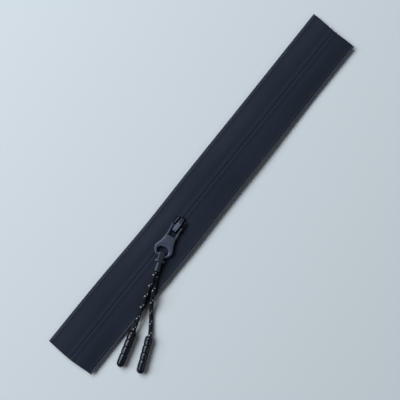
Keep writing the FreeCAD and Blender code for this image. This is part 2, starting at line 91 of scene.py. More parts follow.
# The two tails' routes, the same as the CAD's, in millimetres.
CORD_DIAMETER = 2.6 * MM
CORD_ROUTES = {
    "left": [
        (6.72, -57.17, 7.78),
        (8.35, -61.70, 7.66),
        (9.65, -65.85, 6.70),
        (11.65, -72.55, 5.50),
        (13.90, -79.30, 5.46),
        (16.30, -86.00, 5.62),
        (19.50, -94.30, 3.45),
    ],
    "right": [
        (7.84, -56.73, 5.38),
        (9.75, -60.40, 5.34),
        (11.70, -64.40, 5.34),
        (13.95, -68.60, 5.48),
        (16.55, -72.95, 5.82),
        (19.90, -77.95, 2.50),
        (24.25, -83.20, 1.35),
        (29.40, -90.70, 2.80),
    ],
}
GRIP_TIPS = {"left": (26.45, -116.75, 2.70), "right": (38.75, -112.25, 2.70)}


# ---- pieces
def raw_object(name, points, faces):
    """A mesh object that isn't yet a piece."""
    mesh = bpy.data.meshes.new(name)
    mesh.from_pydata([tuple(p) for p in points], [], [tuple(int(i) for i in f) for f in faces])
    mesh.validate()
    obj = bpy.data.objects.new(name, mesh)
    bpy.context.scene.collection.objects.link(obj)
    turn_outwards(obj)
    return obj


def turn_outwards(obj):
    """Turn every face outwards."""
    work = bmesh.new()
    work.from_mesh(obj.data)
    bmesh.ops.recalc_face_normals(work, faces=work.faces)
    work.to_mesh(obj.data)
    work.free()


def shade_smooth(mesh):
    mesh.polygons.foreach_set("use_smooth", [True] * len(mesh.polygons))


def dress(obj, *looks):
    """Give an object its materials, by their names in MATERIALS."""
    obj.data.materials.clear()
    for look in looks:
        obj.data.materials.append(MATERIALS[look])


def settle(obj, node, body, slot, *looks):
    """Attach a piece to the body it rides on, hide the CAD node that it stands in for, and give it its
    materials.
    """
    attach(obj, body)
    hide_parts(node)
    dress(obj, *looks)


def new_piece(name, points, faces, body, slot, *looks):
    """A smooth mesh that rides on a body, in place of the CAD node of the same name."""
    obj = raw_object(name, points, faces)
    shade_smooth(obj.data)
    settle(obj, name, body, slot, *looks)
    return obj


WELD_SCALE = 100.0         # the remesher works on a copy this many times larger


def weld(obj, voxel, smoothing):
    """Weld overlapping solids into one cast shape with softened corners."""
    obj.data.transform(Matrix.Scale(WELD_SCALE, 4))
    remesh = obj.modifiers.new("weld", "REMESH")
    remesh.mode = "VOXEL"
    remesh.voxel_size = voxel * WELD_SCALE
    soften = obj.modifiers.new("soften", "SMOOTH")
    soften.factor = 0.5
    soften.iterations = smoothing
    mesh = evaluated_mesh(obj)
    obj.modifiers.clear()
    old = obj.data
    obj.data = mesh
    bpy.data.meshes.remove(old)
    mesh.transform(Matrix.Scale(1 / WELD_SCALE, 4))
    shade_smooth(mesh)


def evaluated_mesh(obj):
    """An object's mesh with its modifiers or its curve's settings applied."""
    graph = bpy.context.evaluated_depsgraph_get()
    return bpy.data.meshes.new_from_object(obj.evaluated_get(graph))


# ---- points and faces
def loft(rings):
    """Points and faces of a skin over closed rings of equal length, capped at both ends."""
    rings = np.asarray(rings, float)
    count, around = rings.shape[:2]
    i = np.arange(count - 1)[:, None] * around
    j = np.arange(around)[None, :]
    k = (j + 1) % around
    quads = np.stack([i + j, i + k, i + around + k, i + around + j], -1).reshape(-1, 4)
    faces = [tuple(q) for q in quads]
    faces.append(tuple(range(around))[::-1])
    faces.append(tuple((count - 1) * around + n for n in range(around)))
    return rings.reshape(-1, 3), faces


def merge(parts):
    """Several (points, faces) joined as one."""
    points = []
    faces = []
    start = 0
    for part_points, part_faces in parts:
        points.append(np.asarray(part_points, float))
        faces += [tuple(i + start for i in face) for face in part_faces]
        start += len(part_points)
    return np.vstack(points), faces


def slab(outline, low, high):
    """A flat outline of (x, y) points as a solid between two heights, all in millimetres."""
    return loft([[(x * MM, y * MM, z * MM) for x, y in outline] for z in (low, high)])


def ring_angles(around):
    return np.arange(around) * TAU / around


def ways_along(path):
    """The direction of travel at every point of a path."""
    ways = np.gradient(path, axis=0)
    return ways / np.linalg.norm(ways, axis=1)[:, None]


def frames_along(path):
    """A side and an up direction at every point of a path, turning as little as they can."""
    ways = ways_along(path)
    side = np.cross(ways[0], UP)
    if np.linalg.norm(side) < 1e-6:
        side = np.array((1.0, 0, 0))
    sides = []
    for way in ways:
        side = side - way * side.dot(way)
        side /= np.linalg.norm(side)
        sides.append(side)
    sides = np.array(sides)
    return sides, np.cross(sides, ways)


def rings_about(path, sides, ups, radius):
    """Rings in the planes of two directions. radius is an array of (points along, points around)."""
    angles = ring_angles(radius.shape[1])
    across = np.cos(angles)[None, :, None] * sides[:, None, :]
    over = np.sin(angles)[None, :, None] * ups[:, None, :]
    return path[:, None, :] + radius[:, :, None] * (across + over)


def tube_rings(path, radius, around):
    """Rings round a path. radius is a number or an array of (points along, points around)."""
    path = np.asarray(path, float)
    sides, ups = frames_along(path)
    return rings_about(path, sides, ups, np.broadcast_to(radius, (len(path), around)))


def left_of(line, n):
    """The direction square to a flat line at its point n, on the left of its travel."""
    before = np.array(line[max(n - 1, 0)])
    after = np.array(line[min(n + 1, len(line) - 1)])
    way = (after - before) / np.linalg.norm(after - before)
    return np.array([-way[1], way[0]])


def curve_span(a, b, c, d, steps):
    """Points from b up to c on a smooth curve through all four, by the Catmull-Rom rule."""
    t = (np.arange(steps) / steps)[:, None]
    square = 2 * a - 5 * b + 4 * c - d
    cube = 3 * b - a - 3 * c + d
    return 0.5 * (2 * b + (c - a) * t + square * t * t + cube * t * t * t)


def smooth_outline(points, steps=6):
    """A closed smooth curve through points."""
    points = np.asarray(points, float)
    count = len(points)
    spans = []
    for n in range(count):
        four = [points[(n + m) % count] for m in (-1, 0, 1, 2)]
        spans.append(curve_span(*four, steps))
    return np.vstack(spans)


def open_curve(points, steps):
    """An open smooth curve through points."""
    points = np.asarray(points, float)
    ends = np.vstack([2 * points[0] - points[1], points, 2 * points[-1] - points[-2]])
    spans = [curve_span(*ends[n : n + 4], steps) for n in range(len(points) - 1)]
    return np.vstack(spans + [points[-1:]])


def power_round(value, power):
    """A signed power, which squares off the corners of a round section."""
    return math.copysign(abs(value) ** power, value)


# ---- materials
COOL = (0.78, 0.86, 1.0)   # the tint of the black parts' gloss
NOISE_ROUGHNESS = 0.55


def material(
    name,
    colour,
    roughness,
    metallic=0.0,
    specular=0.5,
    coat=0.0,
    coat_rough=0.2,
    sheen=0.0,
    tint=COOL,
):
    """A Principled material with its plain values on the shader's own sockets."""
    made = bpy.data.materials.new(name)
    made.use_nodes = True
    sockets = made.node_tree.nodes["Principled BSDF"].inputs
    sockets["Base Color"].default_value = (*colour, 1)
    sockets["Roughness"].default_value = roughness
    sockets["Metallic"].default_value = metallic
    sockets["Specular IOR Level"].default_value = specular
    sockets["Coat Weight"].default_value = coat
    sockets["Coat Roughness"].default_value = coat_rough
    sockets["Sheen Weight"].default_value = sheen
    sockets["Specular Tint"].default_value = (*tint, 1)
    made.diffuse_color = (*colour, 1)
    return made


class Nodes:
    """Short calls for building a material's nodes."""

    def __init__(self, made):
        self.tree = made.node_tree
        self.shader = self.tree.nodes["Principled BSDF"]
        self.place = self.tree.nodes.new("ShaderNodeTexCoord").outputs["Object"]

    def link(self, a, b):
        self.tree.links.new(a, b)

    def drive(self, socket, value):
        """Let a node's value set one of the shader's sockets."""
        self.link(value, self.shader.inputs[socket])

    def noise(self, scale, detail, stretch=WHITE):
        mapping = self.tree.nodes.new("ShaderNodeMapping")
        mapping.inputs["Scale"].default_value = stretch
        self.link(self.place, mapping.inputs["Vector"])
        node = self.tree.nodes.new("ShaderNodeTexNoise")
        node.inputs["Scale"].default_value = scale
        node.inputs["Detail"].default_value = detail
        node.inputs["Roughness"].default_value = NOISE_ROUGHNESS
        self.link(mapping.outputs["Vector"], node.inputs["Vector"])
        return node.outputs["Fac"]

    def wave(self, scale, direction, distortion):
        node = self.tree.nodes.new("ShaderNodeTexWave")
        node.bands_direction = direction
        node.inputs["Scale"].default_value = scale
        node.inputs["Distortion"].default_value = distortion
        self.link(self.place, node.inputs["Vector"])
        return node.outputs["Fac"]

    def maths(self, kind, a, b):
        node = self.tree.nodes.new("ShaderNodeMath")
        node.operation = kind
        for socket, value in zip(node.inputs, (a, b)):
            if isinstance(value, (int, float)):
                socket.default_value = value
            else:
                self.link(value, socket)
        return node.outputs[0]

    def ramp(self, factor, low, high, colours):
        node = self.tree.nodes.new("ShaderNodeValToRGB")
        node.color_ramp.elements[0].position = low
        node.color_ramp.elements[1].position = high
        for element, colour in zip(node.color_ramp.elements, colours):
            element.color = (*colour, 1)
        self.link(factor, node.inputs["Fac"])
        return node.outputs["Color"]

    def spread(self, factor, low, high):
        node = self.tree.nodes.new("ShaderNodeMapRange")
        node.inputs["To Min"].default_value = low
        node.inputs["To Max"].default_value = high
        self.link(factor, node.inputs["Value"])
        return node.outputs["Result"]

    def bump(self, height, distance, strength, under=None):
        node = self.tree.nodes.new("ShaderNodeBump")
        node.inputs["Distance"].default_value = distance
        node.inputs["Strength"].default_value = strength
        self.link(height, node.inputs["Height"])
        if under is not None:
            self.link(under, node.inputs["Normal"])
        return node.outputs["Normal"]


def film_material():
    """Satin film: nearly black blue, with a faint grain and slow changes of gloss."""
    made = material("film", (0.015, 0.0205, 0.031), 0.64, specular=0.18)
    nodes = Nodes(made)
    clouds = nodes.noise(38, 2, stretch=(1, 0.35, 1))
    tint = nodes.ramp(clouds, 0.3, 0.75, [(0.0128, 0.0178, 0.0272), (0.0176, 0.0235, 0.035)])
    nodes.drive("Base Color", tint)
    nodes.drive("Roughness", nodes.spread(nodes.noise(160, 3), 0.56, 0.72))
    grain = nodes.bump(nodes.noise(2600, 3), 0.00004, 0.5)
    nodes.drive("Normal", nodes.bump(nodes.noise(70, 1, stretch=(1, 0.4, 1)), 0.0006, 0.3, under=grain))
    return made


WEAVE_PITCH = 0.42 * MM
WEAVE_COLOURS = [(0.016, 0.022, 0.032), (0.055, 0.068, 0.09)]


def weave_material():
    """Woven polyester: ribs across the tape crossed by finer ribs along it."""
    made = material("tape_weave", WEAVE_COLOURS[1], 0.5, specular=0.5)
    nodes = Nodes(made)
    ribs = nodes.wave(1 / WEAVE_PITCH / 2, "Y", 0.4)
    wales = nodes.wave(1 / WEAVE_PITCH / 2, "X", 0.4)
    twill = nodes.wave(0.35 / WEAVE_PITCH, "DIAGONAL", 0.6)
    squares = nodes.maths("MULTIPLY", ribs, wales)
    cloth = nodes.maths("ADD", squares, nodes.maths("MULTIPLY", twill, 0.5))
    lint = nodes.maths("MULTIPLY", nodes.noise(300, 3), 0.35)
    shade = nodes.maths("ADD", nodes.maths("MULTIPLY", cloth, 0.6), lint)
    nodes.drive("Base Color", nodes.ramp(shade, 0.2, 0.9, WEAVE_COLOURS))
    nodes.drive("Normal", nodes.bump(cloth, 0.00012, 0.8))
    return made


def coil_material():
    """Drawn polyester monofilament: smooth and a little glossy."""
    made = material("coil", (0.016, 0.018, 0.023), 0.3, specular=0.5)
    nodes = Nodes(made)
    nodes.drive("Roughness", nodes.spread(nodes.noise(900, 2), 0.24, 0.4))
    return made


def thread_material():
    """Twisted sewing thread."""
    made = material("thread", (0.018, 0.021, 0.027), 0.7, specular=0.3, sheen=0.2)
    nodes = Nodes(made)
    twist = nodes.wave(1800, "DIAGONAL", 0.5)
    nodes.drive("Base Color", nodes.ramp(twist, 0.2, 0.8, [(0.011, 0.013, 0.017), (0.026, 0.03, 0.038)]))
    nodes.drive("Normal", nodes.bump(twist, 0.00005, 0.7))
    return made


def enamel_material():
    """The slider's black enamel, baked on the casting."""
    made = material("slider_enamel", (0.004, 0.0065, 0.0115), 0.44, specular=0.3)
    nodes = Nodes(made)
    nodes.drive("Roughness", nodes.spread(nodes.noise(700, 3), 0.38, 0.5))
    nodes.drive("Normal", nodes.bump(nodes.noise(2500, 3), 0.00003, 0.3))
    return made


def painted_highlight_material():
    """Painted highlight: a lighter, half-metallic enamel on the rails' crests, standing in for the light
    that they catch.
    """
    made = material("painted_highlight_enamel", (0.09, 0.1, 0.125), 0.3, metallic=0.5)
    nodes = Nodes(made)
    nodes.drive("Roughness", nodes.spread(nodes.noise(1800, 3), 0.22, 0.42))
    return made


def painted_shade_material():
    """Painted shade: near-black, dull enamel between the rails, standing in for the shade under the puller.
    """
    return material("painted_shade_enamel", (0.0015, 0.002, 0.003), 0.85, specular=0.06)


def gunmetal_material():
    """Satin gunmetal plating on the puller and crown."""
    made = material("puller_metal", (0.05, 0.062, 0.09), 0.36, metallic=0.3, specular=0.5)
    nodes = Nodes(made)
    clouds = nodes.noise(350, 3)
    nodes.drive("Base Color", nodes.ramp(clouds, 0.25, 0.8, [(0.063, 0.073, 0.104), (0.082, 0.095, 0.133)]))
    nodes.drive("Roughness", nodes.spread(nodes.noise(1500, 3), 0.32, 0.42))
    nodes.drive("Normal", nodes.bump(nodes.noise(4200, 2), 0.00002, 0.25))
    return made


def steel_material():
    """The lock's stamped spring steel."""
    made = material("spring_steel", (0.22, 0.23, 0.25), 0.35, metallic=1.0, tint=WHITE)
    nodes = Nodes(made)
    nodes.drive("Roughness", nodes.spread(nodes.wave(2500, "X", 2.0), 0.25, 0.45))
    return made


def cord_material():
    """Black braid."""
    made = material("cord_braid", (0.0035, 0.0046, 0.0068), 0.7, specular=0.16)
    nodes = Nodes(made)
    fuzz = nodes.noise(1500, 2)
    nodes.drive("Base Color", nodes.ramp(fuzz, 0.46, 0.64, [(0.0008, 0.0012, 0.002), (0.03, 0.035, 0.045)]))
    nodes.drive("Normal", nodes.bump(fuzz, 0.00004, 0.5))
    return made


def tracer_material():
    """The pale reflective yarn that shows as flecks in the braid."""
    made = material("cord_tracer", (0.42, 0.44, 0.46), 0.35, specular=0.6)
    nodes = Nodes(made)
    beads = nodes.noise(4000, 2)
    nodes.drive("Base Color", nodes.ramp(beads, 0.3, 0.7, [(0.27, 0.29, 0.31), (0.55, 0.57, 0.58)]))
    return made


def rubber_material():
    """Semi-gloss moulded rubber on the grips."""
    made = material("grip_rubber", (0.0045, 0.0062, 0.0098), 0.22, specular=0.45, coat=0.2, coat_rough=0.12)
    nodes = Nodes(made)
    nodes.drive("Roughness", nodes.spread(nodes.noise(900, 3), 0.18, 0.28))
    nodes.drive("Normal", nodes.bump(nodes.noise(2200, 2), 0.00002, 0.25))
    return made


def connector_material():
    """The connector's moulded plastic, with an uneven satin gloss."""
    made = material("connector_plastic", (0.021, 0.026, 0.037), 0.36, specular=0.42)
    nodes = Nodes(made)
    nodes.drive("Roughness", nodes.spread(nodes.noise(900, 3), 0.26, 0.4))
    nodes.drive("Normal", nodes.bump(nodes.noise(3000, 2), 0.00002, 0.2))
    return made


def floor_material():
    """A plain pale blue-grey floor."""
    return material("floor", (0.745, 0.775, 0.78), 0.95, specular=0.05, tint=WHITE)


# ---- how the cloth lies
def bell(x, centre, width):
    return np.exp(-(((x - centre) / width) ** 2))


def ease(x, start, end):
    """A smooth step from 0 at the start to 1 at the end."""
    t = np.clip((x - start) / (end - start), 0, 1)
    return t * t * (3 - 2 * t)


def edge_drop(side, y):
    """How far a tape's outer edge hangs below the chain, and how far it curls back up."""
    low = 1.0 + 0.25 * np.sin(y * TAU / (83 * MM) + 1.3 * side)
    if side < 0:
        return (low + 0.12 * bell(y, -18 * MM, 26 * MM)) * MM
    held = ease(y, -48 * MM, -60 * MM) * ease(y, -104 * MM, -94 * MM)
    return (low - 0.95 * bell(y, 8 * MM, 42 * MM) - 0.7 * held) * MM


def droop(x, y, side):
    """How the tapes lie: the chain holds them up, and their edges hang lower."""
    away = ease(np.abs(x), 5 * MM, HALF_WIDTH)
    return -away * edge_drop(side, y)


def bow(x, y):
    """How far the cloth strays sideways, most beside the slider, where the pull has left it."""
    away = ease(np.abs(x), 4 * MM, 13 * MM)
    long_bow = 0.75 * bell(y, 30 * MM, 75 * MM) - 0.45
    slack = 1.05 * bell(y, -40 * MM, 34 * MM)
    return 0.85 * away * (long_bow + slack) * MM


def cut(x, y):
    """How the two cut ends stray from straight, as shears leave them."""
    middle = np.cos(np.clip(x / HALF_WIDTH, -1, 1) * math.pi / 2) ** 2
    top = ease(y, 0.75 * HALF_LENGTH, HALF_LENGTH)
    bottom = ease(-y, 0.75 * HALF_LENGTH, HALF_LENGTH)
    return (-0.75 * middle * top - (0.75 + 0.6 * middle) * bottom) * MM


def laid(x, y, z, side):
    """The points of a flat strip, as the strip really lies."""
    return np.stack([x + bow(x, y), y + cut(x, y), z + droop(x, y, side)], -1)


# ---- the chain
FILM_ROWS = 782
TAPE_ROWS = 391
FILLER_ROWS = 620
FILLER_SIDES = 12
FILLER_LAY = 3.4 * MM      # the length in which a ply winds once round the filler cord
THREAD_ROWS = 1156
THREAD_SIDES = 6
NEEDLE_RADIUS = 0.085 * MM
LOOPER_RADIUS = 0.09 * MM
LOOPER_SWING = 0.17 * MM
WIRE_SIDES = 8
TURN_POINTS = 22           # points along one turn of the coil

# Ridges on the film's face: height, distance from the middle and width in millimetres, and the
# pitch of those that rise and fall along the chain.
FILM_RIDGES = [
    (0.12, 1.25, 0.34, None),
    (0.08, STITCH_X / MM, 0.26, STITCH_PITCH),
    (0.03, 2.5, 0.4, COIL_PITCH),
    (-0.06, 0.0, 0.32, None),
    (0.13, 14.55, 0.3, None),
]


def film_relief(x, y):
    """Height of the film's face over its flat part: lips, ridges and stitches."""
    a = np.abs(x) / MM
    height = 0.08 * (1 - ease(a, 2.3, 3.1)) + 0.02 * ease(a, 3.4, 5.0)
    for high, centre, width, pitch in FILM_RIDGES:
        ripple = np.cos(y * TAU / pitch) if pitch else 1.0
        height = height + high * ripple * bell(a, centre, width)
    return height * MM


def film(name, side):
    """The bonded film, a closed sheet with the chain's relief on its face."""
    edge = FILM_EDGE / MM
    by_lips = np.linspace(0.03, 3.6, 34)
    on_flat = np.linspace(4.0, 13.6, 14)
    by_edge = np.linspace(13.9, edge - 0.12, 8)
    columns = np.concatenate([by_lips, on_flat, by_edge, [edge - 0.03]]) * MM
    x, y = np.meshgrid(side * columns, np.linspace(-HALF_LENGTH, HALF_LENGTH, FILM_ROWS))
    top = FILM_TOP + film_relief(x, y)
    top[:, -1] -= 0.05 * MM
    top[:, 0] -= 0.03 * MM
    upper = laid(x, y, top, side)
    lower = laid(x, y, TAPE_TOP + 0.005 * MM, side)[:, ::-1]
    points, faces = loft(np.concatenate([upper, lower], 1))
    return new_piece("film_" + name, points, faces, "chain", "film", "film")


def tape_section():
    """Cross-section of the right tape: flat face, round bead on the selvedge, thicker band."""
    inner = TAPE_LOW[0]
    shoulder = SELVEDGE + 0.1 * MM
    dip = 0.06 * MM
    bead = 0.5 * MM
    middle = (TAPE_TOP + TAPE_UNDER) / 2
    bead_tall = 1.6 * (TAPE_TOP - TAPE_UNDER) / 2
    top_x = np.concatenate([[inner], np.linspace(2.2, 15.0, 20) * MM])
    low_x = np.concatenate([np.linspace(15.0, 5.3, 15) * MM, [BAND_HALF, 3.3 * MM, inner]])
    turn = np.linspace(0.75 * math.pi, -0.75 * math.pi, 17)
    section = [(x, TAPE_TOP) for x in top_x]
    section += [(shoulder, TAPE_TOP - dip)]
    section += [(HALF_WIDTH - bead + bead * math.cos(a), middle + bead_tall * math.sin(a)) for a in turn]
    section += [(shoulder, TAPE_UNDER + dip)]
    section += [(x, TAPE_UNDER if x > BAND_HALF else BAND_UNDER) for x in low_x]
    return np.array(section)


def tape(name, side):
    """The woven tape with its rounded selvedge and its denser band under the chain."""
    section = tape_section()
    x, y = np.meshgrid(side * section[:, 0], np.linspace(-HALF_LENGTH, HALF_LENGTH, TAPE_ROWS))
    points, faces = loft(laid(x, y, section[:, 1], side))
    return new_piece("tape_" + name, points, faces, "chain", "tape", "tape")


def coil(name, side):
    """A wound monofilament: one flattened turn for each tooth, its head past the middle."""
    turns = int(2 * HALF_LENGTH / COIL_PITCH) - 2
    stagger = COIL_PITCH / 2 if side > 0 else 0
    start = -turns * COIL_PITCH / 2 - COIL_PITCH / 4 + stagger
    t = np.arange(turns * TURN_POINTS + 1) / TURN_POINTS
    cosine, sine = np.cos(t * TAU), np.sin(t * TAU)
    middle_x = (COIL_HIGH[0] - COIL_REACH) / 2
    reach = (COIL_HIGH[0] + COIL_REACH) / 2 - COIL_WIRE
    middle_z = (COIL_LOW[2] + COIL_HIGH[2]) / 2
    half_tall = (COIL_HIGH[2] - COIL_LOW[2]) / 2 - COIL_WIRE
    x = side * (middle_x - reach * np.sign(cosine) * np.abs(cosine) ** 0.6)
    z = middle_z + half_tall * np.sign(sine) * np.abs(sine) ** 0.7
    y = start + COIL_PITCH * (np.floor(t) + 0.5 - 0.5 * np.cos(np.pi * ease(t % 1, 0.25, 0.75)))
    head = COIL_WIRE * (1 + 0.06 * np.clip(cosine, 0, 1) ** 6)
    radius = np.repeat(head[:, None], WIRE_SIDES, axis=1)
    points, faces = loft(coil_rings(np.stack([x, y, z], -1), radius))
    return new_piece("coil_" + name, points, faces, "chain", "coil", "coil")


def coil_rings(path, radius):
    """Rings round the winding, each upright in its own turn so that none of them twists."""
    ways = ways_along(path)
    along = np.array([0, 1.0, 0])
    sides = along - ways * (ways @ along)[:, None]
    sides /= np.linalg.norm(sides, axis=1)[:, None]
    return rings_about(path, sides, np.cross(sides, ways), radius)


def filler_cord(name, side):
    """A three-ply cord inside the coil."""
    x = side * (FILLER_LOW[0] + FILLER_HIGH[0]) / 2
    z = (FILLER_LOW[2] + FILLER_HIGH[2]) / 2
    radius = (FILLER_HIGH[2] - FILLER_LOW[2]) / 2
    angles, y = np.meshgrid(ring_angles(FILLER_SIDES), np.linspace(-HALF_LENGTH, HALF_LENGTH, FILLER_ROWS))
    plies = np.abs(np.cos(1.5 * (angles - y * TAU / FILLER_LAY)))
    reach = radius * (0.82 + 0.18 * plies)
    rings = np.stack([x + reach * np.cos(angles), y, z + reach * np.sin(angles)], -1)
    points, faces = loft(rings)
    return new_piece("filler_cord_" + name, points, faces, "chain", "thread", "thread")


def needle_thread(name, side):
    """Stitches under the film, each pulled down into the tape at its ends."""
    y = np.linspace(-HALF_LENGTH, HALF_LENGTH, THREAD_ROWS)
    sink = 0.05 * MM * (1 - np.abs(np.cos(y * math.pi / STITCH_PITCH)) ** 0.5)
    path = np.stack([np.full_like(y, side * STITCH_X), y, TAPE_TOP - 0.09 * MM - sink], -1)
    points, faces = loft(tube_rings(path, NEEDLE_RADIUS, THREAD_SIDES))
    return new_piece("needle_thread_" + name, points, faces, "chain", "thread", "thread")


def looper_thread(name, side):
    """The chain of loops along the back of the coil: two strands that swing apart and meet."""
    y = np.linspace(-HALF_LENGTH + 0.2 * MM, HALF_LENGTH - 0.2 * MM, THREAD_ROWS)
    phase = y * TAU / STITCH_PITCH
    strands = []
    for swing in (1, -1):
        x = side * STITCH_X + swing * LOOPER_SWING * np.sin(phase / 2)
        z = COIL_LOW[2] + 0.02 * MM - 0.05 * MM * np.cos(phase + swing)
        strands.append(loft(tube_rings(np.stack([x, y, z], -1), LOOPER_RADIUS, THREAD_SIDES)))
    points, faces = merge(strands)
    return new_piece("looper_thread_" + name, points, faces, "chain", "thread", "thread")


# ---- the slider, in millimetres
PLATE_NARROW = 3.95        # half the width of the plates' tail
BACK_PLATE = (0.05, 0.9)   # lowest and highest, as in the rows below
FACE_PLATE = (4.1, 5.02)
FLANGE = (0.5, 2.9)
RAIL = (4.6, 5.6)
WEDGE = (0.5, 4.6)
RAIL_INNER = 2.4
RAIL_OUTER = 2.85
WEDGE_HALF_WIDE = 1.1
WEDGE_HALF_LONG = 2.2
WEDGE_BEHIND = 3.6         # from the nose to the wedge's middle
HIGHLIGHT_DEEP = 0.3           # how far down from their crests the rails carry the painted highlight
PAINTED_SHADE_HALF = 2.3         # half the width of the painted shade between the rails


def plate_points(grow):
    """Plan view of the slider's plates."""
    nose = SLIDER_HIGH[1] / MM + grow
    tail = SLIDER_LOW[1] / MM - grow
    half = SLIDER_HIGH[0] / MM + grow
    narrow = PLATE_NARROW + grow
    right = [
        (0.0, nose - 0.05),
        (1.6, nose - 0.1),
        (half - 1.5, nose - 0.5),
        (half - 0.45, nose - 1.2),
        (half, nose - 2.4),
        (half - 0.2, nose - 4.2),
        (narrow, nose - 6.4),
        (narrow, tail + 0.8),
        (narrow - 0.8, tail + 0.08),
        (1.5, tail),
    ]
    left = [(-x, y) for x, y in reversed(right[1:])]
    return right + [(0.0, tail)] + left


def side_slabs(side, nose, tail):
    """The flange and the rail of one side."""
    flange = [
        (4.72, nose - 2.4),
        (4.52, nose - 4.2),
        (3.87, nose - 6.4),
        (3.87, tail + 0.5),
        (3.3, tail + 0.3),
        (3.3, nose - 6.2),
        (3.95, nose - 4.1),
        (4.1, nose - 1.6),
    ]
    rail = [
        (RAIL_INNER, nose - 5.6),
        (RAIL_OUTER, nose - 5.6),
        (RAIL_OUTER, nose - 0.9),
        (RAIL_INNER, nose - 0.9),
    ]
    slabs = []
    for outline, heights in ((flange, FLANGE), (rail, RAIL)):
        slabs.append(slab([(side * x, y) for x, y in outline][::side], *heights))
    return slabs


def slider_body():
    """The casting: back plate with flanges, wedge, and face plate with two rails."""
    nose = SLIDER_HIGH[1] / MM
    tail = SLIDER_LOW[1] / MM
    parts = [
        slab(smooth_outline(plate_points(-0.08)), *BACK_PLATE),
        slab(smooth_outline(plate_points(-0.14)), *FACE_PLATE),
    ]
    for side in (-1, 1):
        parts += side_slabs(side, nose, tail)
    wedge = []
    for a in ring_angles(24):
        wedge.append((WEDGE_HALF_WIDE * math.cos(a), nose - WEDGE_BEHIND + WEDGE_HALF_LONG * math.sin(a)))
    parts.append(slab(wedge, *WEDGE))
    obj = raw_object("slider_body", *merge(parts))
    weld(obj, 0.09 * MM, 4)
    settle(obj, "slider_body", "slider", "slider_enamel", "enamel", "painted_highlight", "painted_shade")
    # Paint a highlight on the rails' crests and shade on the face between them.
    paint_slider_highlight_and_shade(obj)


def paint_slider_highlight_and_shade(obj):
    """A painted highlight on the rails' crests, and painted shade on the face between them."""
    crest = SLIDER_HIGH[2] - HIGHLIGHT_DEEP * MM
    looks = []
    for face in obj.data.polygons:
        in_painted_shade = abs(face.center.x) < PAINTED_SHADE_HALF * MM and face.center.z > 0.5 * crest
        looks.append(1 if face.center.z > crest else 2 * int(in_painted_shade))
    obj.data.polygons.foreach_set("material_index", looks)


CROWN_HALF = 1.15          # half the crown's width at its front foot
CROWN_SPREAD = 0.22        # how much wider it is, each way, over the pintle
CROWN_THICK = 0.62
CROWN_RIB = 0.13


def crown_section(half, thick, rib):
    """Cross-section of the crown, (across, out) points, with a rib on top."""
    return [
        (-half, -thick),
        (-half, -0.18),
        (-half + 0.12, -0.04),
        (-half + 0.3, 0.0),
        (-0.62, 0.0),
        (-0.5, -0.02),
        (-0.38, rib),
        (0.22, rib),
        (0.38, -0.02),
        (0.5, -rib),
        (0.72, -rib),
        (0.86, 0.0),
        (half - 0.3, 0.0),
        (half - 0.12, -0.04),
        (half, -0.18),
        (half, -thick),
    ]


def crown_line():
    """The crown's upper face from the front foot to the back one, as (y, z) points."""
    front = CROWN_HIGH[1] / MM
    back = CROWN_LOW[1] / MM
    top = CROWN_HIGH[2] / MM
    base = CROWN_LOW[2] / MM
    corners = [
        (front, base - 0.1),
        (front - 0.02, base + 0.7),
        (front - 1.15, base + 2.0),
        (front - 2.6, top - 0.62),
        (front - 4.2, top - 0.05),
        (front - 6.2, top),
        (back + 1.3, top - 0.04),
        (back + 0.35, top - 0.4),
        (back + 0.02, top - 1.3),
        (back, base + 1.2),
        (back, base - 0.1),
    ]
    return open_curve(corners, 8)


def crown_out(line, n):
    """The direction that the crown's upper face looks in, at a point of its line."""
    out = left_of(line, n)
    middle = (CROWN_HIGH[1] + CROWN_LOW[1]) / 2 / MM
    upright = abs(out[1]) < 0.2
    inwards = out[0] * (line[n][0] - middle) < 0
    # One section low on the front foot passes neither test, and lies there as a small fin.
    if out[1] < -0.01 or (upright and inwards):
        out = -out
    return out


def slider_crown():
    """The bail: a rounded strap from a foot at the nose over the pintle to a foot at the tail."""
    line = crown_line()
    rings = []
    for n, (y, z) in enumerate(line):
        out = crown_out(line, n)
        along = n / (len(line) - 1)
        half = CROWN_HALF + CROWN_SPREAD * float(ease(along, 0.05, 0.4))
        feet = 0.35 * (1 - float(ease(along, 0.0, 0.25))) + 0.28 * float(ease(along, 0.8, 1.0))
        rib = CROWN_RIB * float(ease(along, 0.05, 0.2)) * (1 - float(ease(along, 0.86, 0.97)))
        section = crown_section(half, CROWN_THICK + feet, rib)
        rings.append([(a * MM, (y + out[0] * o) * MM, (z + out[1] * o) * MM) for a, o in section])
    points, faces = loft(rings)
    new_piece("slider_crown", points, faces, "slider", "puller_metal", "gunmetal")


# ---- the puller: u along it from its pintle, w across it, in millimetres
BAR_U = 19.6               # the bar's axis
BAR_RADIUS = 0.98
BAR_HALF = 3.1
BAR_SIDES = 24
PINTLE_RADIUS = 0.6
PINTLE_HALF = 3.7
EAR_INNER = 2.35
EAR_RADIUS = 1.08
ARM_HALF_WIDE = 0.54
ARM_HALF_TALL = 0.86
PLATE_HALF_THICK = 1.1
PLATE_RIM = 0.62           # the radius of the plate's rounded edges
PULLER_OUTLINE = [
    (6.4, 3.4),
    (8.2, 3.62),
    (11.1, 4.3),
    (13.4, 5.25),
    (15.4, 5.82),
    (17.2, 5.5),
    (19.0, 4.45),
    (20.3, 3.3),
    (20.75, 2.6),
]
EYE_OUTLINE = [
    (14.1, 0.001),
    (14.5, 1.9),
    (15.6, 3.3),
    (17.0, 3.8),
    (18.3, 3.3),
    (18.85, 2.5),
    (18.95, 1.2),
]


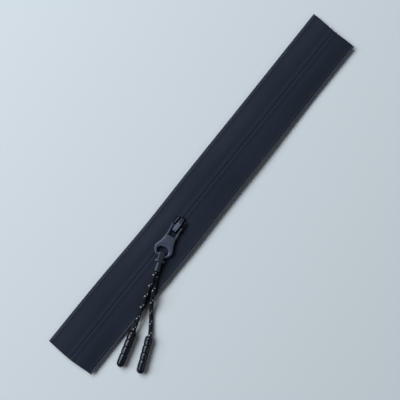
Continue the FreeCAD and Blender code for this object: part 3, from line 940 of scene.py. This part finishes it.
def rounded_plate(loops):
    """A flat plate with holes and rounded edges, from loops of (u, w) points."""
    data = bpy.data.curves.new("plate", "CURVE")
    data.dimensions = "2D"
    data.fill_mode = "BOTH"
    data.extrude = PLATE_HALF_THICK - PLATE_RIM
    data.bevel_depth = PLATE_RIM
    data.bevel_resolution = 4
    data.offset = -PLATE_RIM
    for loop in loops:
        spline = data.splines.new("POLY")
        spline.points.add(len(loop) - 1)
        for point, (u, w) in zip(spline.points, loop):
            point.co = (u, w, 0, 1)
        spline.use_cyclic_u = True
    return curve_mesh(data)


def curve_mesh(data):
    """The points and faces that a curve makes. The curve isn't kept."""
    obj = bpy.data.objects.new(data.name, data)
    bpy.context.scene.collection.objects.link(obj)
    mesh = evaluated_mesh(obj)
    points = [tuple(v.co) for v in mesh.vertices]
    faces = [tuple(p.vertices) for p in mesh.polygons]
    bpy.data.objects.remove(obj)
    bpy.data.meshes.remove(mesh)
    return points, faces


def mirrored(points):
    """An open half outline closed by its mirror image, as one smooth loop."""
    line = open_curve(points, 6)
    other = line[::-1].copy()
    other[:, 1] *= -1
    return np.vstack([line, other])


def round_bar(u, start, end, radius):
    """A cylinder across the puller."""
    return loft(tube_rings(np.linspace((u, start, 0), (u, end, 0), 3), radius, BAR_SIDES))


def arm(side):
    """An arm of oval section from an ear to the plate."""
    angles = ring_angles(BAR_SIDES)
    reach = 1 / np.sqrt((np.cos(angles) / ARM_HALF_WIDE) ** 2 + (np.sin(angles) / ARM_HALF_TALL) ** 2)
    line = [(-0.2, side * 3.0, 0.1), (1.5, side * 2.95, 0.05), (4.0, side * 2.87, 0), (7.4, side * 2.9, 0)]
    return loft(tube_rings(open_curve(line, 5), reach, BAR_SIDES))


def puller():
    """Pintle, ears, arms and the plate with its eye, welded as one casting."""
    cast = [
        rounded_plate([mirrored(PULLER_OUTLINE), mirrored(EYE_OUTLINE)]),
        round_bar(0, -PINTLE_HALF, PINTLE_HALF, PINTLE_RADIUS),
        round_bar(BAR_U, -BAR_HALF, BAR_HALF, BAR_RADIUS),
    ]
    for side in (-1, 1):
        cast.append(round_bar(0, side * EAR_INNER, side * PINTLE_HALF, EAR_RADIUS))
        cast.append(arm(side))
    points, faces = merge(cast)
    piece = raw_object("puller", points * MM, faces)
    weld(piece, 0.075 * MM, 5)
    crown_plate(piece.data)
    turn = Matrix((PULLER_WAY, PULLER_SIDE, UP)).transposed().to_4x4()
    piece.data.transform(Matrix.Translation(PINTLE) @ turn)
    settle(piece, "puller", "puller", "puller_metal", "gunmetal")


def crown_plate(mesh):
    """Thin the plate towards its flanks and round the eye, and round the bar for the loop."""
    points = np.empty(len(mesh.vertices) * 3)
    mesh.vertices.foreach_get("co", points)
    points = points.reshape(-1, 3)
    u, w, z = (points / MM).T
    bulge = 1.0 - 0.35 * (np.clip(np.abs(w) / 5.8, 0, 1) ** 2)
    dip = 1.0 - 0.28 * bell(np.hypot(u - 17.0, w * 1.05), 3.9, 1.0) * (1 - ease(u, 17.5, 18.6))
    z = z * (1 + ease(u, 7.2, 9.0) * (bulge * dip - 1))
    off_axis = np.maximum(np.hypot(u - BAR_U, z), 0.001)
    on_bar = (1 - ease(np.abs(w), 2.8, 3.3)) * (u > BAR_U - 1.3)
    rounding = 1 + on_bar * (np.minimum(BAR_RADIUS / off_axis, 1) - 1)
    points[:, 0] = (BAR_U + (u - BAR_U) * rounding) * MM
    points[:, 2] = z * rounding * MM
    mesh.vertices.foreach_set("co", points.reshape(-1))
    mesh.update()


# ---- the connector: s along the cord pull from the puller's bar, in millimetres
STRAP_ROUND = 1.54         # from the bar's middle to the middle of the strap, above and below
STRAP_REACH = 2.2          # the same, on the bar's far side
STRAP_HALF_THICK = 0.43
STRAP_SIDES = 20
STRAP_END = 3.2
STRAP_PLACES = (-2.5, -1.6, -0.6, 0.0, 3.2)
STRAP_HALF_WIDE = (1.4, 2.0, 1.95, 1.8, 1.85)
OVAL_SIDES = 40

# Ovals of the shank, the collar and the neck: s, half the width, half the height and z.
SHANK = [
    (1.75, 1.75, 1.85, 0),
    (2.4, 1.85, 1.85, 0),
    (3.4, 2.2, 1.85, 0),
]
COLLAR = [
    (2.65, 2.9, 1.7, 0),
    (2.8, 3.3, 1.95, 0),
    (3.2, 3.5, 2.08, 0),
    (3.9, 3.45, 2.08, 0),
    (4.25, 3.2, 1.95, 0),
    (4.4, 2.7, 1.7, 0),
]
NECK = [
    (4.1, 1.7, 1.8, 0.0),
    (4.9, 1.62, 1.85, 0.02),
    (6.2, 1.72, 1.98, 0.08),
    (8.0, 1.85, 2.15, 0.16),
    (9.1, 1.93, 2.33, 0.25),
    (9.65, 1.9, 2.36, 0.28),
    (9.8, 1.78, 2.25, 0.28),
]


def on_connector(s, across, z):
    """A point s along and across the cord pull from the puller's bar."""
    return tuple(LOOP + CONNECTOR_WAY * (s * MM) + CONNECTOR_SIDE * (across * MM) + UP * (z * MM))


def oval_loft(ovals, power):
    """A skin over squarish ovals across the cord pull. A higher power makes them squarer."""
    rings = []
    for s, half_wide, half_tall, z in ovals:
        ring = []
        for a in ring_angles(OVAL_SIDES):
            across = half_wide * power_round(math.cos(a), 2 / power)
            ring.append(on_connector(s, across, z + half_tall * power_round(math.sin(a), 2 / power)))
        rings.append(ring)
    return loft(rings)


def strap_line():
    """The middle of the strap, as (s, z) points: over the bar, round its far side, back under it."""
    line = [(STRAP_END, STRAP_ROUND), (1.2, STRAP_ROUND)]
    for a in np.linspace(math.pi / 2, 3 * math.pi / 2, 17):
        square = 0.55 if a < math.pi else 1.0
        reach = abs(math.cos(a)) ** square
        rise = abs(math.sin(a)) ** square
        line.append((-STRAP_REACH * reach, math.copysign(STRAP_ROUND * rise, math.pi - a)))
    return line + [(1.2, -STRAP_ROUND), (STRAP_END, -STRAP_ROUND)]


def strap():
    """The loop round the bar: a flat strap with rounded edges."""
    line = strap_line()
    rings = []
    for n, (s, z) in enumerate(line):
        out = left_of(line, n)
        half_wide = np.interp(s, STRAP_PLACES, STRAP_HALF_WIDE)
        ring = []
        for a in ring_angles(STRAP_SIDES):
            across = half_wide * power_round(math.cos(a), 0.6)
            rise = STRAP_HALF_THICK * power_round(math.sin(a), 0.75)
            ring.append(on_connector(s + out[0] * rise, across, z + out[1] * rise))
        rings.append(ring)
    return loft(rings)


def connector():
    """The moulded loop round the bar, its collar and the neck that the tails come out of."""
    parts = [strap(), oval_loft(SHANK, 3.0), oval_loft(COLLAR, 2.4), oval_loft(NECK, 2.3)]
    obj = raw_object("cord_connector", *merge(parts))
    weld(obj, 0.085 * MM, 4)
    settle(obj, "cord_connector", "cord_pull", "grip", "connector")


# ---- the tails
BRAID_YARNS = 8            # yarns that wind each way
BRAID_LAY = 7.0 * MM       # the length in which a yarn winds once round the cord
BRAID_SIDES = 48
BRAID_STEP = 0.16 * MM
BRAID_DEEP = 0.17 * MM
FLECK_PITCH = 7.1 * MM     # the length in which the tracer comes round to the same flank
FLECK_START = {"left": 1.0 * MM, "right": 3.5 * MM}
FLECK_LONG = 0.43 * MM     # half a fleck's length
FLECK_WIDE = 0.32          # half a fleck's width, in radians round the cord
FLECK_STEP = 1.7 * MM      # from one fleck of a pair to the other, along the cord
FLECK_APART = 0.5          # each fleck's turn from the pair's middle, in radians


def route_spline(name, points):
    """A smooth line with the route's points as its control points, read back as points."""
    data = bpy.data.curves.new(name, "CURVE")
    data.dimensions = "3D"
    data.resolution_u = 24
    spline = data.splines.new("NURBS")
    spline.points.add(len(points) - 1)
    for point, (x, y, z) in zip(spline.points, points):
        point.co = (x * MM, y * MM, z * MM, 1)
    spline.order_u = 3
    spline.use_endpoint_u = True
    return np.array(curve_mesh(data)[0])


def evenly(path, step):
    """The same line with points an equal distance apart, and its length."""
    gaps = np.linalg.norm(np.diff(path, axis=0), axis=1)
    travelled = np.concatenate([[0], np.cumsum(gaps)])
    wanted = np.linspace(0, travelled[-1], int(travelled[-1] / step) + 1)
    even = np.stack([np.interp(wanted, travelled, path[:, k]) for k in range(3)], -1)
    return even, travelled[-1]


def braid_radius(along):
    """The braid's radius at every point: yarns that wind both ways, over and under by turns."""
    angle = ring_angles(BRAID_SIDES)[None, :]
    right = (angle + along[:, None] * TAU / BRAID_LAY) * BRAID_YARNS / 2
    left = (angle - along[:, None] * TAU / BRAID_LAY) * BRAID_YARNS / 2
    right_high = np.abs(np.sin(right)) ** 0.7
    left_high = np.abs(np.sin(left)) ** 0.7
    height = np.where(np.sin(right + left) > 0, right_high, left_high)
    return CORD_DIAMETER / 2 - BRAID_DEEP + BRAID_DEEP * height


def cord(name, grip_piece):
    """A round braid with two tracer yarns that surface as slanting pairs of flecks."""
    line = route_spline("route_" + name, CORD_ROUTES[name])
    path, length = evenly(line, BRAID_STEP)
    along = np.linspace(0, length, len(path))
    points, faces = loft(tube_rings(path, braid_radius(along), BRAID_SIDES))
    piece = new_piece("cord_" + name, points, faces, "cord_pull", "cord", "cord", "tracer")
    mark_tracer(piece, name, along)


def mark_tracer(piece, name, along):
    """Give the tracer's material to the faces where its yarn lies on top."""
    s = ((along[:-1] + along[1:]) / 2)[:, None]
    angle = ((np.arange(BRAID_SIDES) + 0.5) * TAU / BRAID_SIDES)[None, :]
    looks = np.zeros(len(piece.data.polygons), int)
    marked = np.zeros((len(s), BRAID_SIDES), bool)
    for n in range(-1, int(2 * along[-1] / FLECK_PITCH) + 2):
        flank = math.pi / 2 if n % 2 == 0 else -math.pi / 2
        start = FLECK_START[name] + n * FLECK_PITCH / 2
        for centre, turn in ((start, FLECK_APART), (start + FLECK_STEP, -FLECK_APART)):
            off = np.angle(np.exp(1j * (angle - flank - turn)))
            slant = off + (s - centre) * FLECK_APART / FLECK_STEP
            marked |= ((s - centre) / FLECK_LONG) ** 2 + (slant / FLECK_WIDE) ** 2 < 1
    looks[: marked.size] = marked.reshape(-1)
    piece.data.polygons.foreach_set("material_index", looks)


# ---- the grips, in millimetres
GRIP_LENGTH = 23.5
GRIP_RADIUS = 2.65
GRIP_SIDES = 48
NOSE_LONG = 2.6
GROOVES = (5.9, 10.5, 15.1)
GROOVE_WIDE = 0.42
GROOVE_DEEP = 0.3


def grip_radius(s, angle):
    """The grip's radius s along it: a chamfered mouth, pads with flats, grooves, a round nose."""
    mouth = 1.75 + 0.9 * math.sin(min(s / 1.3, 1) * math.pi / 2)
    into_nose = max(s - (GRIP_LENGTH - NOSE_LONG), 0)
    nose = math.sqrt(max(1 - (into_nose / NOSE_LONG) ** 2, 0.0004))
    groove = GROOVE_DEEP * sum(float(bell(s, place, GROOVE_WIDE)) for place in GROOVES)
    flat = 0.09 * bell(math.cos(angle) ** 2, 0.0, 0.35) * float(ease(s, 1.5, 3.0))
    return (min(mouth, GRIP_RADIUS) - flat) * nose - groove


def grip(name):
    """A moulded grip on a tail's end, with four pads parted by three grooves."""
    start = Vector(CORD_ROUTES[name][-1]) * MM
    way = (Vector(GRIP_TIPS[name]) * MM - start).normalized()
    side = way.cross(UP).normalized()
    up = side.cross(way)
    mouth = np.linspace(0, 1.4, 8)
    pads = np.linspace(1.6, 21.0, 110)
    nose = np.linspace(21.1, GRIP_LENGTH, 22)
    rings = []
    for s in np.concatenate([mouth, pads, nose]):
        centre = start + way * (s * MM)
        ring = []
        for a in ring_angles(GRIP_SIDES):
            out = side * math.cos(a) + up * math.sin(a)
            ring.append(tuple(centre + out * (grip_radius(s, a) * MM)))
        rings.append(ring)
    points, faces = loft(rings)
    return new_piece("grip_" + name, points, faces, "cord_pull", "grip", "rubber")


# ---- stage, light and camera
CAMERA_PLACE = Vector((-13.0, -34.4, 434.1)) * MM
CAMERA_RIGHT = Vector((0.7772, 0.6259, 0.0656))
CAMERA_UP = Vector((-0.6285, 0.7773, 0.0299))
CAMERA_LENS = 63.0
LIGHT_AIM = Vector((0, -0.01, 0))
FLOOR_HALF = 3.0
FLOOR_Z = -0.02 * MM
SKY_COLOUR = (0.82, 0.91, 1.0, 1)
SKY_STRENGTH = 0.06

# Soft boxes: place, width and length along Y, watts and colour.
LIGHTS = {
    "key": ((-1.05, -0.1, 1.2), (0.8, 1.6), 30.0, (0.87, 0.935, 1.0)),
    "low": ((-1.35, -0.7, 0.75), (0.12, 0.6), 2.6, (0.8, 0.88, 1.0)),
    "fill": ((0.9, 0.2, 1.0), (0.6, 0.6), 0.9, (0.86, 0.93, 1.0)),
}


def camera():
    data = bpy.data.cameras.new("camera")
    data.lens = CAMERA_LENS
    data.sensor_width = 36
    data.clip_start = 0.01
    obj = bpy.data.objects.new("camera", data)
    bpy.context.scene.collection.objects.link(obj)
    right = CAMERA_RIGHT.normalized()
    back = right.cross(CAMERA_UP).normalized()
    turn = Matrix((right, back.cross(right), back)).transposed().to_4x4()
    obj.matrix_world = Matrix.Translation(CAMERA_PLACE) @ turn
    bpy.context.scene.camera = obj


def area_light(name, place, size, power, colour):
    """A soft box that faces the object."""
    data = bpy.data.lights.new(name, "AREA")
    data.shape = "RECTANGLE"
    data.size, data.size_y = size
    data.energy = power
    data.color = colour
    obj = bpy.data.objects.new(name, data)
    bpy.context.scene.collection.objects.link(obj)
    back = (Vector(place) - LIGHT_AIM).normalized()
    across = Vector((0, 1, 0)).cross(back).normalized()
    turn = Matrix((across, back.cross(across), back)).transposed().to_4x4()
    obj.matrix_world = Matrix.Translation(Vector(place)) @ turn


def floor():
    mesh = bpy.data.meshes.new("floor")
    corners = [(x * FLOOR_HALF, y * FLOOR_HALF, FLOOR_Z) for x, y in ((-1, -1), (1, -1), (1, 1), (-1, 1))]
    mesh.from_pydata(corners, [], [(0, 1, 2, 3)])
    obj = bpy.data.objects.new("floor", mesh)
    bpy.context.scene.collection.objects.link(obj)
    mesh.materials.append(floor_material())


def sky():
    world = bpy.data.worlds.new("world")
    world.use_nodes = True
    background = world.node_tree.nodes["Background"]
    background.inputs["Color"].default_value = SKY_COLOUR
    background.inputs["Strength"].default_value = SKY_STRENGTH
    bpy.context.scene.world = world


# ---- everything
MATERIALS = {
    "film": film_material(),
    "tape": weave_material(),
    "coil": coil_material(),
    "thread": thread_material(),
    "enamel": enamel_material(),
    # The next two are painted light on the slider: a painted highlight on the rails' crests and painted
    # shade between them.
    "painted_highlight": painted_highlight_material(),
    "painted_shade": painted_shade_material(),
    "gunmetal": gunmetal_material(),
    "steel": steel_material(),
    "cord": cord_material(),
    "tracer": tracer_material(),
    "rubber": rubber_material(),
    "connector": connector_material(),
}


def build_chain():
    for name, side in SIDES.items():
        coil(name, side)
        filler_cord(name, side)
        needle_thread(name, side)
        looper_thread(name, side)
        cloth = tape(name, side)
        skin = film(name, side)


def build():
    camera()
    floor()
    sky()
    for name, values in LIGHTS.items():
        area_light(name, *values)
    bpy.context.scene.view_settings.view_transform = "Standard"
    for name in SIDES:
        cord(name, grip(name))
    build_chain()
    slider_body()
    slider_crown()
    puller()
    connector()
    for node in ("lock_pin", "lock_spring"):
        dress(frame["nodes"][node], "steel")


build()
